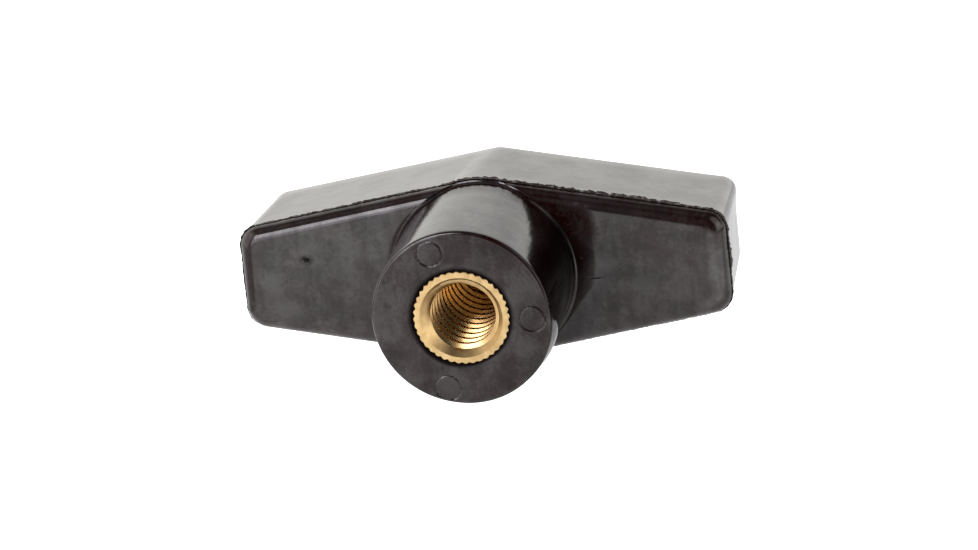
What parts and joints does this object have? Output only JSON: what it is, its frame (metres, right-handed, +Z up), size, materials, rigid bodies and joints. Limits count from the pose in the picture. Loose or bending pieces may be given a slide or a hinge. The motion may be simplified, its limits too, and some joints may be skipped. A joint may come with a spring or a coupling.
{
  "type": "wing nut",
  "caption": "Moulded wing nut with a tapered hexagonal wing, a round hub and a knurled, blind-tapped brass insert.",
  "frame": {"origin": "centre of the hub's flat seat face, on the thread axis", "axes": "-Y out of the threaded hole's mouth, +X along the wing span, +Z up across the wings' ridge"},
  "size_m": [0.0502, 0.0278, 0.019],
  "materials": {
    "moulding": "satin-gloss brown-black phenolic moulding",
    "brass": "machined, unplated"
  },
  "bodies": {
    "root": {"wing_body": "moulding", "threaded_insert": "brass"}
  },
  "joints": []
}
